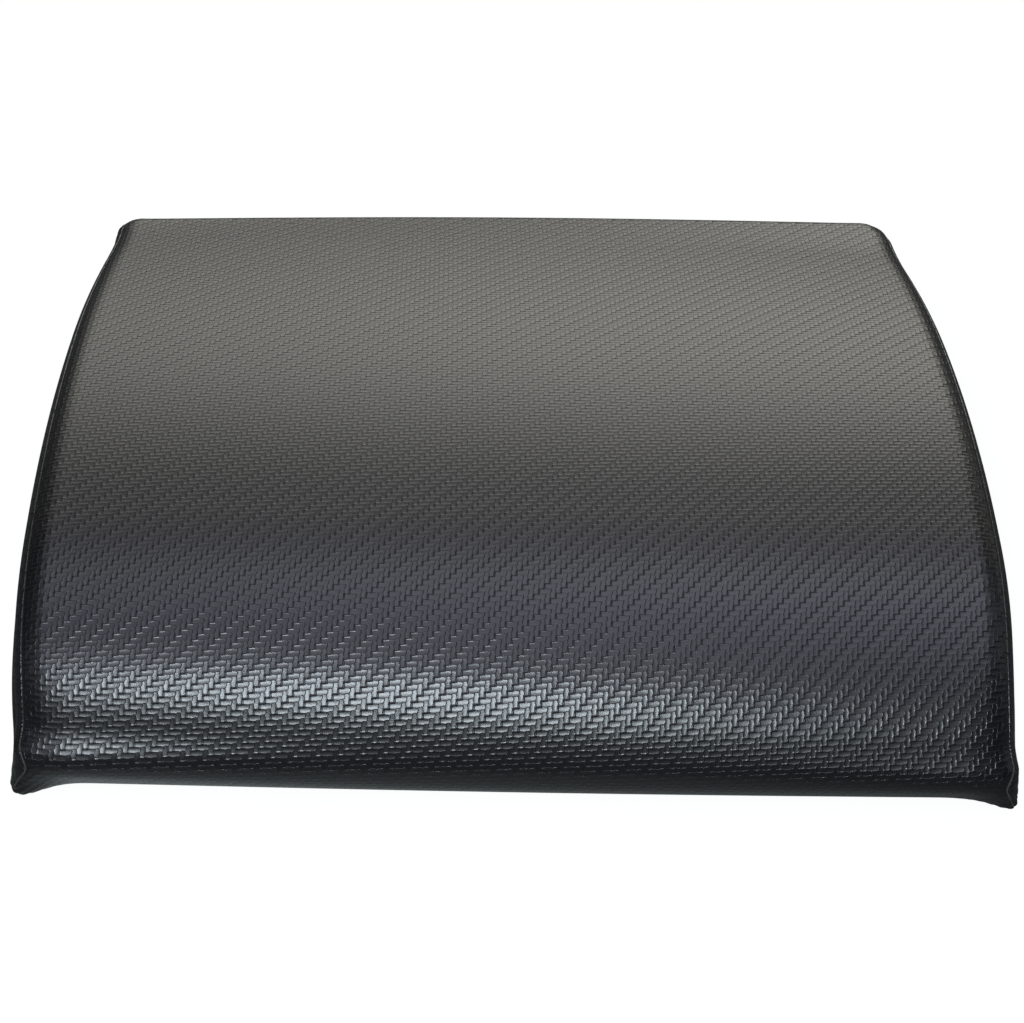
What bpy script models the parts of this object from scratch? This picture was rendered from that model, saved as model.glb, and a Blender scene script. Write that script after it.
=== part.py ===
"""Ab mat: a foam wedge in a sewn vinyl cover, closed by a zip in its base.

Metres, +Z up. The steep tall end faces -Y, the thin end +Y, and the width runs along X.
The origin is on the floor under the middle of the mat.
"""

from math import cos, exp, pi, radians, sin, sqrt

import bmesh
import bpy
from mathutils import Matrix, Vector

# The mat
width = 0.360
depth = 0.338
height = 0.070

# Side profile: a round nose, a steep face, a crest, a long slope and a thin round tail
nose_radius = 0.018
face_slope = radians(61)
crest_depth_share = 0.27
tail_radius = 0.010
tail_slope = radians(18)
rise_handle_shares = (0.53, 0.20)
fall_handle_shares = (0.28, 0.42)

# Softness of the cushion
crown = 0.003
edge_radius = 0.009
hem_radius = 0.0022
soft_height = 0.016
soft_thickness = 0.030
front_corner_radius = 0.008
rear_corner_radius = 0.018
rear_taper = 0.005
rear_taper_length = 0.125
side_bulge = 0.0025

# Corner ears, where the gathered seams push the cover out
ear_height = 0.007
ear_setback = 0.010
ear_reach = 0.0065
front_ear_out = 0.0042
rear_ear_out = 0.0022
ear_direction_shares = (0.62, 0.72, 0.0)

# Cover
vinyl = 0.0012
base_vinyl = 0.0012
seam_gap = 0.0004
fit_gap = 0.0003
seam_angle = radians(45)
seam_edge_row = 0.0004

# Zip
zip_from_rear = 0.052
zip_slot_half_width = 0.007
zip_slot_half_length = 0.133
zip_end_room = 0.003
tape_thickness = 0.0006
tape_sewn_width = 0.006
chain_height = 0.0066
chain_thickness = 0.0022
chain_half_width = 0.0029
chain_middle_gap = 0.0009
tooth_length = 0.0015
tooth_width = 0.0014
tooth_pitch = 0.0026

# Slider, pull tab and stops
slider_length = 0.0095
slider_width = 0.0086
slider_tail_width = 0.0068
slider_shoulder_shares = (-0.33, 0.67)
slider_plate = 0.0012
slider_flange = 0.0009
slider_flange_inset = 0.0001
slider_run_gap = 0.0003
slider_blade_length = 0.0032
slider_blade_thickness = 0.0004
slider_end_clearance = 0.0006
arch_length = 0.0075
arch_width = 0.0016
arch_bar = 0.0009
arch_leg = 0.0011
arch_hole = 0.0021
tab_length = 0.018
tab_width = 0.0056
tab_thickness = 0.0010
tab_bar = 0.0012
tab_eye_length = 0.0044
tab_eye_side_gap = 0.0004
tab_end_clearance = 0.002
stop_length = 0.0022
stop_edge = 0.00035

# One overrun serves every cut and join
overrun = 0.0005
merge_distance = 0.000005

# Counts
nose_steps = 6
rise_steps = 7
fall_steps = 14
tail_steps = 5
side_rows = 3
round_end_steps = 8
halvings = 40
across_shares = (0.4, 0.75, 1.0)
roll_shares = (0.55,)

left, right = -1, 1
front, rear = -1, 1


def start():
    for obj in list(bpy.data.objects):
        bpy.data.objects.remove(obj, do_unlink=True)
    scene = bpy.context.scene
    collections = []
    for name in ("ab_mat", "cutters"):
        collection = bpy.data.collections.new(name)
        scene.collection.children.link(collection)
        collections.append(collection)
    return collections


ab_mat, cutters = start()


def material(name, color, roughness, metallic=0.0):
    made = bpy.data.materials.new(name)
    made.use_nodes = True
    shader = made.node_tree.nodes["Principled BSDF"]
    shader.inputs["Base Color"].default_value = (*color, 1)
    shader.inputs["Roughness"].default_value = roughness
    shader.inputs["Metallic"].default_value = metallic
    return made


def place(obj, finish):
    """Puts a finished object in the mat's collection, with its own material."""
    for owner in list(obj.users_collection):
        owner.objects.unlink(obj)
    ab_mat.objects.link(obj)
    obj.data.materials.clear()
    obj.data.materials.append(finish)
    return obj


def object_of(name, shape):
    """A new object, in no collection yet, from a bmesh."""
    mesh = bpy.data.meshes.new(name)
    shape.to_mesh(mesh)
    shape.free()
    mesh.update()
    return bpy.data.objects.new(name, mesh)


def smooth_step(share):
    share = min(1, max(0, share))
    return share * share * (3 - 2 * share)


# Outline of the mat's side, as stations along its depth. Each holds the points over each other on
# the upper and the lower outline, with their outward normals


def cubic(handles, t):
    """The point on a cubic curve, and its normal, to the left of the way it runs."""
    a, b, c, d = handles
    s = 1 - t
    point = s**3 * a + 3 * s * s * t * b + 3 * s * t * t * c + t**3 * d
    along = (s * s * (b - a) + 2 * s * t * (c - b) + t * t * (d - c)).normalized()
    return point, Vector((-along.y, along.x))


def cubic_at(handles, y):
    """The same, where the curve crosses this depth."""
    low, high = 0.0, 1.0
    for _ in range(halvings):
        middle = (low + high) / 2
        if cubic(handles, middle)[0].x < y:
            low = middle
        else:
            high = middle
    return cubic(handles, (low + high) / 2)


def on_circle(centre, radius, y, side):
    """The point of a circle at this depth, on its upper or its lower side."""
    across = max(-1, min(1, (y - centre.x) / radius))
    normal = Vector((across, side * sqrt(1 - across * across)))
    return centre + radius * normal, normal


def tangent_on(centre, radius, angle):
    return centre + radius * Vector((cos(angle), sin(angle)))


nose = Vector((-depth / 2 + nose_radius, nose_radius))
tail = Vector((depth / 2 - tail_radius, tail_radius))
crest = Vector((depth * (crest_depth_share - 0.5), height))
face_start = tangent_on(nose, nose_radius, pi / 2 + face_slope)
slope_end = tangent_on(tail, tail_radius, pi / 2 - tail_slope)


def rise_and_fall():
    """The two curves that meet at the crest, tangent to the nose and the tail."""
    climb = Vector((cos(face_slope), sin(face_slope)))
    fall = Vector((cos(tail_slope), -sin(tail_slope)))
    level = Vector((1, 0))
    rise_reach = (crest - face_start).length
    fall_reach = (slope_end - crest).length
    rise = (
        face_start,
        face_start + climb * rise_reach * rise_handle_shares[0],
        crest - level * rise_reach * rise_handle_shares[1],
        crest,
    )
    down = (
        crest,
        crest + level * fall_reach * fall_handle_shares[0],
        slope_end - fall * fall_reach * fall_handle_shares[1],
        slope_end,
    )
    return rise, down


rise_curve, fall_curve = rise_and_fall()


def upper_at(y):
    if y <= face_start.x:
        return on_circle(nose, nose_radius, y, 1)
    if y <= crest.x:
        return cubic_at(rise_curve, y)
    if y <= slope_end.x:
        return cubic_at(fall_curve, y)
    return on_circle(tail, tail_radius, y, 1)


def lower_at(y):
    if y < nose.x:
        return on_circle(nose, nose_radius, y, -1)
    if y > tail.x:
        return on_circle(tail, tail_radius, y, -1)
    return Vector((y, 0)), Vector((0, -1))


def spread(start_y, end_y, steps):
    return [start_y + (end_y - start_y) * step / steps for step in range(1, steps + 1)]


def station_depths():
    """Close together round the nose and the tail, further apart between them."""
    nose_turns = [pi / 2 * step / nose_steps for step in range(nose_steps + 1)]
    tail_turns = [pi / 2 * step / tail_steps for step in range(1, tail_steps + 1)]
    depths = [nose.x - nose_radius * cos(turn) for turn in nose_turns]
    depths += spread(nose.x, crest.x, rise_steps)
    depths += spread(crest.x, tail.x, fall_steps)
    return depths + [tail.x + tail_radius * sin(turn) for turn in tail_turns]


depths = station_depths()
upper = [(*upper_at(y), upper_at(y)[0].y - lower_at(y)[0].y) for y in depths]
lower = [(*lower_at(y), upper_at(y)[0].y - lower_at(y)[0].y) for y in depths]
around = upper + lower[-2:0:-1]
front_seam = nose_steps
rear_seam = len(depths) - 1 - tail_steps


# Skin of the cushion: any point of it, set in from the outside by a given depth


def corner_cut(radius, from_end, inset):
    """What a corner that is round in plan takes off the half width this far from the mat's end."""
    inner = radius - inset
    into = min(inner, max(0, radius - from_end))
    return inner - sqrt(inner * inner - into * into)


def half_width(y, inset=0.0):
    """Half of the mat's width at this depth, or of a skin that lies inset under it."""
    cuts = corner_cut(rear_corner_radius, depth / 2 - y, inset)
    cuts += corner_cut(front_corner_radius, depth / 2 + y, inset)
    along_taper = max(0, y - (depth / 2 - rear_taper_length)) / rear_taper_length
    return width / 2 - inset - cuts - rear_taper * along_taper**2


def softness(place_on):
    """1 on the upper skin, 0 at the base and at the ends, where the seams hold the edge tight."""
    point, _, thickness = place_on
    return smooth_step(point.y / soft_height) * smooth_step(thickness / soft_thickness)


def roll_radius(place_on):
    return hem_radius + (edge_radius - hem_radius) * softness(place_on)


def ears(spot):
    """The same spot, pushed out where it is near a corner of the base."""
    moved = spot.copy()
    for side in (left, right):
        for end, out in ((front, front_ear_out), (rear, rear_ear_out)):
            end_y = end * (depth / 2 - ear_setback)
            corner = Vector((side * half_width(end_y), end_y, ear_height))
            near = exp(-((spot - corner).length_squared) / (2 * ear_reach**2))
            sideways, lengthways, upways = ear_direction_shares
            moved += near * out * Vector((side * sideways, end * lengthways, upways))
    return moved


def skin(place_on, across, roll, inset=0.0):
    """A point of the skin. across runs from -1 to 1 between the rolled edges.

    roll is the angle around the edge: 0 where it starts on top, a quarter turn on the side.
    """
    point, normal, _ = place_on
    radius = max(roll_radius(place_on) - inset, 0)
    lowered = crown * softness(place_on) * across * across
    spot = point - normal * (inset + lowered + radius * (1 - cos(roll)))
    reach = half_width(spot.x, inset) - radius
    x = across * reach
    if roll:
        x = (reach + radius * sin(roll)) * (1 if across > 0 else -1)
    return Vector((x, spot.x, spot.y))


def side_face(station, side, share, inset=0.0):
    """A point of the side's face. share runs from 0 at its upper rim to 1 at its lower rim."""
    top = skin(upper[station], side, pi / 2, inset)
    bottom = skin(lower[station], side, pi / 2, inset)
    spot = top.lerp(bottom, share)
    tall = smooth_step(upper[station][2] / height)
    bulge = side_bulge * tall * 4 * share * (1 - share)
    return Vector((side * (half_width(spot.y, inset) + bulge), spot.y, spot.z))


def bend_grid(columns, rows, where):
    """A grid whose every point goes where the given function of its column and row says."""
    shape = bmesh.new()
    bmesh.ops.create_grid(shape, x_segments=columns, y_segments=rows, size=1)
    for vertex in shape.verts:
        column = round((vertex.co.x + 1) / 2 * columns)
        row = round((vertex.co.y + 1) / 2 * rows)
        vertex.co = where(column, row)
    return shape


def add_to(shape, more):
    """Adds the faces of one bmesh to another and merges where they meet."""
    mesh = bpy.data.meshes.new("sheet")
    more.to_mesh(mesh)
    more.free()
    shape.from_mesh(mesh)
    bpy.data.meshes.remove(mesh)
    bmesh.ops.remove_doubles(shape, verts=shape.verts, dist=merge_distance)


def solidify(obj, thickness):
    shell = obj.modifiers.new("thickness", "SOLIDIFY")
    shell.thickness = thickness
    shell.offset = -1
    shell.use_even_offset = False
    return obj


def shade_soft(obj):
    obj.data.shade_smooth()
    return obj


# Panels of the cover


def edge_rolls(radius):
    """Angles of the rolled edge up to the seam, with a last row close to the seam."""
    end = seam_angle - seam_gap / 2 / radius
    before_end = end - seam_edge_row / radius
    return [before_end * share for share in roll_shares] + [before_end, end]


def top_panel():
    """From the front base seam, round the nose, over the crest and round the tail."""
    rows = lower[front_seam:0:-1] + upper + lower[-2 : rear_seam - 1 : -1]
    half = [(share, None) for share in across_shares]
    half += [(1.0, step) for step in range(len(roll_shares) + 2)]
    columns = [(-share, step) for share, step in reversed(half)] + [(0.0, None)] + half

    def where(column, row):
        across, step = columns[column]
        roll = 0 if step is None else edge_rolls(roll_radius(rows[row]))[step]
        return ears(skin(rows[row], across, roll))

    shape = bend_grid(len(columns) - 1, len(rows) - 1, where)
    return place(shade_soft(solidify(object_of("top_panel", shape), vinyl)), carbon_vinyl)


def side_panel(name, side):
    """Its rim meets the top panel halfway round the edge, and the base panel under it."""
    loop = around + around[:1]
    first_on_base = len(around) - rear_seam + 1
    last_on_base = len(around) - front_seam - 1

    def ring(column, row):
        radius = roll_radius(loop[column])
        on_base = first_on_base <= column <= last_on_base
        start_roll = (0 if on_base else seam_angle) + seam_gap / 2 / radius
        close = start_roll + seam_edge_row / radius
        rolls = (start_roll, close, (close + pi / 2) / 2, pi / 2)
        return ears(skin(loop[column], side, rolls[row]))

    def face(column, row):
        return ears(side_face(column, side, row / side_rows))

    shape = bend_grid(len(around), 3, ring)
    add_to(shape, bend_grid(len(depths) - 1, side_rows, face))
    face_outwards(shape, side)
    return place(shade_soft(solidify(object_of(name, shape), vinyl)), carbon_vinyl)


def face_outwards(shape, side):
    bmesh.ops.recalc_face_normals(shape, faces=shape.faces)
    facing = sum(face.normal.x * face.calc_area() for face in shape.faces)
    if facing * side < 0:
        bmesh.ops.reverse_faces(shape, faces=shape.faces)


def foam_core():
    inset = vinyl + fit_gap
    loop = around + around[:1]
    half = [(share, 0) for share in across_shares] + [(1.0, pi / 4), (1.0, pi / 2)]
    rows = [(-share, roll) for share, roll in reversed(half)] + [(0.0, 0)] + half

    def where(column, row):
        across, roll = rows[row]
        return skin(loop[column], across, roll, inset)

    shape = bend_grid(len(around), len(rows) - 1, where)
    for side in (left, right):

        def face(column, row, side=side):
            return side_face(column, side, row / side_rows, inset)

        add_to(shape, bend_grid(len(depths) - 1, side_rows, face))
    bmesh.ops.recalc_face_normals(shape, faces=shape.faces)
    core = place(shade_soft(object_of("foam_core", shape)), foam)
    cut = core.modifiers.new("zip groove", "BOOLEAN")
    cut.operation = "DIFFERENCE"
    cut.object = zip_groove()
    return core


def zip_groove():
    """The foam gives way to the zip: a groove that clears the slider."""
    roof = chain_height + chain_thickness / 2 + slider_run_gap + slider_plate + fit_gap
    half_length = zip_slot_half_length + zip_end_room + fit_gap
    reach = tape_reach() + fit_gap
    low = Vector((-half_length, zip_y - reach, -overrun))
    high = Vector((half_length, zip_y + reach, roof))
    cutter = box("zip_groove", low, high)
    cutters.objects.link(cutter)
    cutter.hide_render = True
    cutter.display_type = "WIRE"
    return cutter


def box(name, low, high):
    """An object in no collection yet: a box between two corners."""
    shape = bmesh.new()
    bmesh.ops.create_cube(shape, size=1)
    size = high - low
    bmesh.ops.scale(shape, vec=size, verts=shape.verts)
    bmesh.ops.translate(shape, vec=(low + high) / 2, verts=shape.verts)
    return object_of(name, shape)


def flat_outline(name, outlines, thickness, turn=None):
    """A flat plate from closed outlines, the first outside and the rest holes, as a mesh."""
    curve = bpy.data.curves.new(name, "CURVE")
    curve.dimensions = "2D"
    curve.fill_mode = "BOTH"
    curve.extrude = thickness / 2
    for outline in outlines:
        spline = curve.splines.new("POLY")
        spline.points.add(len(outline) - 1)
        for point, corner in zip(spline.points, outline):
            point.co = (corner[0], corner[1], 0, 1)
        spline.use_cyclic_u = True
    drawn = bpy.data.objects.new(name + "_outline", curve)
    bpy.context.scene.collection.objects.link(drawn)
    bpy.context.view_layer.update()
    graph = bpy.context.evaluated_depsgraph_get()
    mesh = bpy.data.meshes.new_from_object(drawn.evaluated_get(graph))
    bpy.data.objects.remove(drawn, do_unlink=True)
    mesh.name = name
    mesh.transform(turn or Matrix.Identity(4))
    shape = bmesh.new()
    shape.from_mesh(mesh)
    bmesh.ops.remove_doubles(shape, verts=shape.verts, dist=merge_distance)
    bmesh.ops.recalc_face_normals(shape, faces=shape.faces)
    shape.to_mesh(mesh)
    shape.free()
    return bpy.data.objects.new(name, mesh)


def lift(height_above):
    return Matrix.Translation((0, 0, height_above))


def base_edge(y):
    return half_width(y) - hem_radius - seam_gap


def base_panels():
    """Two flat panels, sewn together at both ends of the zip and open along it."""
    slot = zip_slot_half_width
    half_slot = zip_slot_half_length
    sheets = {}
    for side, first, last in (
        (front, nose.x + seam_gap, zip_y - seam_gap / 2),
        (rear, zip_y + seam_gap / 2, tail.x - seam_gap),
    ):
        between = [y for y in depths if first < y < last]
        right_edge = [(base_edge(y), y) for y in [first, *between, last]]
        left_edge = [(-x, y) for x, y in reversed(right_edge)]
        by_zip = last if side == front else first
        notch = [
            (half_slot, by_zip),
            (half_slot, zip_y + side * slot),
            (-half_slot, zip_y + side * slot),
            (-half_slot, by_zip),
        ]
        if side == front:
            sheets[side] = right_edge + notch + left_edge
        else:
            sheets[side] = right_edge + left_edge + notch[::-1]
    middle = lift(base_vinyl / 2)
    for name, side in (("base_panel", front), ("rear_base_panel", rear)):
        place(flat_outline(name, [sheets[side]], base_vinyl, middle), base_cloth)


# Zip


def tape_reach():
    """How far the tape reaches from the zip's middle line."""
    return zip_slot_half_width + tape_sewn_width + zip_end_room


def tape(name, side):
    """From its sewn edge on the base panel the tape rises to the chain."""
    sewn_height = base_vinyl + fit_gap + tape_thickness / 2
    rise_start = zip_slot_half_width + zip_end_room / 2
    rise_end = slider_width / 2
    across = (
        (chain_half_width + fit_gap, chain_height),
        (rise_end + fit_gap, chain_height),
        (rise_start, sewn_height),
        (tape_reach() - fit_gap, sewn_height),
    )
    half_length = zip_slot_half_length + zip_end_room

    def where(column, row):
        reach, level = across[row]
        x = half_length * (2 * column - 1)
        return Vector((x, zip_y + side * reach, level + tape_thickness / 2))

    shape = bend_grid(1, len(across) - 1, where)
    bmesh.ops.recalc_face_normals(shape, faces=shape.faces)
    if sum(face.normal.z for face in shape.faces) < 0:
        bmesh.ops.reverse_faces(shape, faces=shape.faces)
    return place(solidify(object_of(name, shape), tape_thickness), tape_cloth)


def teeth(name, side):
    """One row of the chain: a strip along the tape with teeth towards the middle."""
    inner = chain_middle_gap / 2
    root = inner + tooth_length
    count = int(2 * chain_end() / tooth_pitch)
    first = -(count - 1) * tooth_pitch / 2 + side * tooth_pitch / 4
    end = chain_end()
    outline = [(-end, chain_half_width), (-end, root)]
    for number in range(count):
        centre = first + number * tooth_pitch
        outline += [
            (centre - tooth_width / 2, root),
            (centre - tooth_width / 2, inner),
            (centre + tooth_width / 2, inner),
            (centre + tooth_width / 2, root),
        ]
    outline += [(end, root), (end, chain_half_width)]
    placed = [(x, side * y) for x, y in outline]
    turn = Matrix.Translation((0, zip_y, chain_height))
    return place(flat_outline(name, [placed], chain_thickness, turn), nylon)


def chain_end():
    """Where the teeth end, short of the stops."""
    return stop_x() - seam_gap


def stop_x():
    """Where the stops start, just past the slider's two ends of travel."""
    return slider_x() + slider_length / 2 + slider_end_clearance


def slider_x():
    """The slider's middle when the zip is closed. It travels as far to the other side to open."""
    return zip_slot_half_length - tab_length - tab_end_clearance


def joined(name, pieces):
    """One mesh object from overlapping solids, by Boolean unions on the first."""
    whole_piece = pieces[0]
    whole_piece.name = name
    for number, piece in enumerate(pieces[1:]):
        cutters.objects.link(piece)
        piece.hide_render = True
        piece.display_type = "WIRE"
        union = whole_piece.modifiers.new(f"join {number + 1}", "BOOLEAN")
        union.operation = "UNION"
        union.object = piece
    return whole_piece


def slider():
    """Two plates over and under the chain, a blade between its rows and an arch for the tab."""
    inner = chain_thickness / 2 + slider_run_gap
    outer = inner + slider_plate
    half = slider_length / 2
    wide = slider_width / 2
    narrow = slider_tail_width / 2
    wide_from, wide_to = (half * share for share in slider_shoulder_shares)
    plan = [
        (-half, -narrow),
        (wide_from, -wide),
        (wide_to, -wide),
        (half, -narrow),
        (half, narrow),
        (wide_to, wide),
        (wide_from, wide),
        (-half, narrow),
    ]
    level = (inner + outer) / 2
    pieces = [
        flat_outline("lower_plate", [plan], slider_plate, lift(-level)),
        flat_outline("upper_plate", [plan], slider_plate, lift(level)),
    ]
    blade = Vector((slider_blade_length, slider_blade_thickness / 2, inner + overrun))
    low = Vector((half - overrun - blade.x, -blade.y, -blade.z))
    high = Vector((half - overrun, blade.y, blade.z))
    pieces.append(box("blade", low, high))
    slot = tape_thickness / 2 + fit_gap
    for side in (left, right):
        for upside in (-1, 1):
            far = side * (wide - slider_flange_inset)
            near = far - side * slider_flange
            corners = (
                Vector((wide_from + slider_flange_inset, near, upside * slot)),
                Vector((wide_to - slider_flange_inset, far, upside * (inner + overrun))),
            )
            low = Vector(map(min, *corners))
            high = Vector(map(max, *corners))
            pieces.append(box("flange", low, high))
    arch_half = arch_length / 2
    hole_half = arch_half - arch_leg
    deep = arch_hole + arch_bar
    arch = [
        (-arch_half, overrun),
        (-arch_half, -deep + arch_bar),
        (-arch_half + arch_bar, -deep),
        (arch_half - arch_bar, -deep),
        (arch_half, -deep + arch_bar),
        (arch_half, overrun),
        (hole_half, overrun),
        (hole_half, -arch_hole),
        (-hole_half, -arch_hole),
        (-hole_half, overrun),
    ]
    upright = Matrix.Rotation(pi / 2, 4, "X")
    turn = lift(-outer) @ upright
    pieces.append(flat_outline("arch", [arch], arch_width, turn))
    made = place(joined("zip_slider", pieces), zinc)
    for piece in pieces:
        piece.location = slider_place()
    return made


def slider_place():
    return Vector((slider_x(), zip_y, chain_height))


def tab_axis():
    """The pull tab's hinge: the middle of the arch's hole."""
    under = chain_thickness / 2 + slider_run_gap + slider_plate + arch_hole / 2
    return slider_place() - Vector((0, 0, under))


def pull_tab():
    half = tab_width / 2
    bar_end = tab_bar / 2
    outline = [(bar_end, -half), (bar_end, half)]
    tip = tab_length - half
    for step in range(round_end_steps + 1):
        angle = pi / 2 + pi * step / round_end_steps
        outline.append((-tip + half * cos(angle), half * sin(angle)))
    eye_half = arch_width / 2 + tab_eye_side_gap
    eye = [
        (-bar_end, -eye_half),
        (-bar_end - tab_eye_length, -eye_half),
        (-bar_end - tab_eye_length, eye_half),
        (-bar_end, eye_half),
    ]
    made = place(flat_outline("zip_pull_tab", [outline, eye], tab_thickness), zinc)
    made.location = tab_axis()
    return made


def stops():
    """Clips that end the chain: one on each tape at the closed end, one across both rows."""
    near = chain_middle_gap / 2
    far = chain_half_width
    reach = chain_thickness / 2
    for name, side in (("front", front), ("rear", rear)):
        corners = (
            Vector((stop_x(), side * near, -reach)),
            Vector((stop_x() + stop_length, side * far, reach)),
        )
        low = Vector(map(min, *corners))
        high = Vector(map(max, *corners))
        clip = place(box(f"zip_top_stop_{name}", low, high), zinc)
        clip.location = (0, zip_y, chain_height)
        soften(clip)
    low = Vector((-stop_x() - stop_length, -far, -reach))
    high = Vector((-stop_x(), far, reach))
    clip = place(box("zip_bottom_stop", low, high), zinc)
    clip.location = (0, zip_y, chain_height)
    soften(clip)


def soften(obj):
    bevel = obj.modifiers.new("soft edges", "BEVEL")
    bevel.width = stop_edge
    bevel.segments = 1


carbon_vinyl = material("carbon_vinyl", (0.018, 0.018, 0.020), 0.38)
base_cloth = material("base_cloth", (0.020, 0.020, 0.021), 0.70)
foam = material("foam", (0.16, 0.16, 0.17), 0.95)
tape_cloth = material("tape_cloth", (0.015, 0.015, 0.016), 0.85)
nylon = material("nylon", (0.03, 0.03, 0.032), 0.45)
zinc = material("zinc", (0.10, 0.10, 0.11), 0.35, 0.9)

zip_y = depth / 2 - zip_from_rear

foam_core()
top_panel()
side_panel("left_side_panel", left)
side_panel("right_side_panel", right)
base_panels()
tape("zip_tape_front", front)
tape("zip_tape_rear", rear)
teeth("zip_teeth_front", front)
teeth("zip_teeth_rear", rear)
slider()
pull_tab()
stops()
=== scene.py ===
"""Looks of the ab mat: a sewn cover of embossed vinyl over a foam wedge, with a zip in its base.

Metres, +Z up. The tall front end faces -Y, and the origin is on the floor under the mat's middle.
"""

from math import cos, pi, radians, sin

import bmesh
import bpy
import numpy as np
from mathutils import Matrix, Vector

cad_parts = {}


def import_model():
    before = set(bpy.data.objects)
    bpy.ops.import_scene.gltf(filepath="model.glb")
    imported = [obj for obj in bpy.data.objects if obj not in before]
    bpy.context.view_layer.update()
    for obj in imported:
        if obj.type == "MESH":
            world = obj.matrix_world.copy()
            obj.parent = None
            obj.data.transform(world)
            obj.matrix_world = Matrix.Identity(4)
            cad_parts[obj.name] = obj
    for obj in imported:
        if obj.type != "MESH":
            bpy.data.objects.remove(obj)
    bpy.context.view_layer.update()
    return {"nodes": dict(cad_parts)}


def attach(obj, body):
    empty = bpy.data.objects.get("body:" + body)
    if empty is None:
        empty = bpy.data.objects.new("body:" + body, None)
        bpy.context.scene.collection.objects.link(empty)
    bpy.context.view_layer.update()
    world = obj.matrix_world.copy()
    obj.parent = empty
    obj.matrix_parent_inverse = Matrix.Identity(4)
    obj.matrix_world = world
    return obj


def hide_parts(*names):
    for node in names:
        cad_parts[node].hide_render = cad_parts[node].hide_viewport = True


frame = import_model()

# The mat, with the sizes of its solids
width = 0.360
depth = 0.338
height = 0.070
nose_radius = 0.018
face_slope = radians(61)
crest_depth_share = 0.27
tail_radius = 0.010
tail_slope = radians(18)
rise_handle_shares = (0.53, 0.20)
fall_handle_shares = (0.28, 0.42)

# Softness of the cushion
crown = 0.0035
edge_radius = 0.0125
hem_radius = 0.0022
soft_height = 0.016
soft_thickness = 0.030
front_corner_radius = 0.008
rear_left_corner_radius = 0.013
rear_right_corner_radius = 0.018
rear_taper = 0.005
rear_taper_length = 0.125
side_bulge = 0.0025
side_fullness = 0.0017
side_fullness_reach = 0.15
askew_start = 0.130
askew_length = 0.0125
askew_sideways = 0.0009
front_fullness = 0.0021
front_fullness_edge = 0.160
front_fullness_fade = 0.020
right_nose_fullness = 0.0024
right_nose_start = -0.072
right_nose_end = 0.200
right_nose_height = 0.031
right_nose_reach = 0.012

# Corner ears: reach, how far each stands out, its shares sideways and lengthways, and its inset
ear_height = 0.006
ear_setback = 0.007
front_left_ear = (0.0062, 0.0066, 0.58, 0.80, 0.0048)
front_right_ear = (0.0080, 0.0060, 0.36, 0.88, 0.0)
rear_ear = (0.0065, 0.0022, 0.62, 0.72, 0.0)
ear_sag = 0.5
gather_spacing = 0.0036
gather_depth = 0.0004

# Cover and its seams
vinyl = 0.0012
seam_gap = 0.0004
seam_angle = radians(45)
fold_radius = 0.0005
hem_fold_radius = 0.0004
fold_row_shares = (0.0, 0.07, 0.22, 0.47, 0.78, 1.1)
least_wall = 0.0002
seam_cord_radius = 0.00045
seam_cord_depth = 0.0007
seam_cord_spacing = 0.0015

# Thread
stitch_thickness = 0.0004
stitch_length = 0.0026
stitch_spacing = 0.0034
ladder_length = 0.0013
ladder_spacing = 0.0030
ladder_depth = 0.00038

# Foam core: how far it is squeezed in, and the cuts that let its corners bend with the cover
core_squeeze = 0.0009
core_cut_spacing = 0.004
core_cut_reach = 0.030

# Base
base_vinyl = 0.0012
sheet_low = 0.0004
sheet_edge = 0.0002
dot_spacing = 0.0070
dot_radius = 0.0011
dot_border = 0.0060
slot_stitch_insets = (0.0018, 0.0046)

# Zip
fit_gap = 0.0003
zip_from_rear = 0.052
zip_slot_half_width = 0.007
zip_slot_half_length = 0.133
zip_end_room = 0.003
tape_thickness = 0.0006
tape_sewn_width = 0.006
tape_close_start = 0.1205
tape_close_length = 0.003
chain_height = 0.0066
chain_thickness = 0.0022
chain_half_width = 0.0029
chain_middle_gap = 0.0009
tooth_pitch = 0.0026
tooth_neck_width = 0.0010
tooth_head_width = 0.0015
tooth_tip_width = 0.0012
tooth_edge_share = 0.78
tooth_flank_share = 0.6
bead_radius = 0.0008
slider_length = 0.0095
slider_width = 0.0086
slider_end_clearance = 0.0006
tab_length = 0.018
tab_end_clearance = 0.002
metal_edge = 0.00016

# Rows and columns of the cover's grids
close_spacing = 0.001
wide_row_spacing = 0.002
wide_column_spacing = 0.003
front_close_length = 0.060
rear_close_length = 0.030
side_close_width = 0.025
outline_steps = 1200
roll_steps = 5
side_roll_shares = (0.35, 0.7, 1.0)
side_face_rows = 22
side_column_spacing = 0.0015
side_turn_rows = 18
merge_distance = 0.00001
flat_angle = radians(1)
sharp_angle = radians(35)

# Embossed twill
tow_width = 0.00199
grain_slope = 0.066
emboss = 0.000130
tow_roundness = 0.50
row_fall = 0.31
column_crown = 0.92
column_fall = 0.42
net_share = 0.19
net_depth = 0.36
# How far the net of fine grooves is darkened: painted shade
net_painted_shade = 0.68
stair_share = 0.24
stair_depth = 0.52
# How far the stairs are darkened: painted shade
stair_painted_shade = 0.85
# Where the grooves open and carry painted shade: depths in metres, then heights above the floor
opening_and_painted_shade_start = 0.0
opening_and_painted_shade_end = -0.12
plain_hem_low = 0.010
plain_hem_high = 0.085

# Grain of the finishes
pebble_size = 0.0006
cloth_rib_width = 0.0007
tape_yarn_width = 0.0005
thread_twist_length = 0.0004
scratch_width = 0.00025
scratch_stretch = 0.05
foam_cells_per_metre = 1400.0

# Counts
cord_sides = 8
stitch_sides = (8, 5)
dot_sides = (8, 6)
soft_edge_steps = 2
base_edge_steps = 60
tape_rows = 12
tape_columns = 80

# Slightly less than the spacing, so that rounding doesn't drop the last item of a line
spacing_slack = 0.9999

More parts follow.
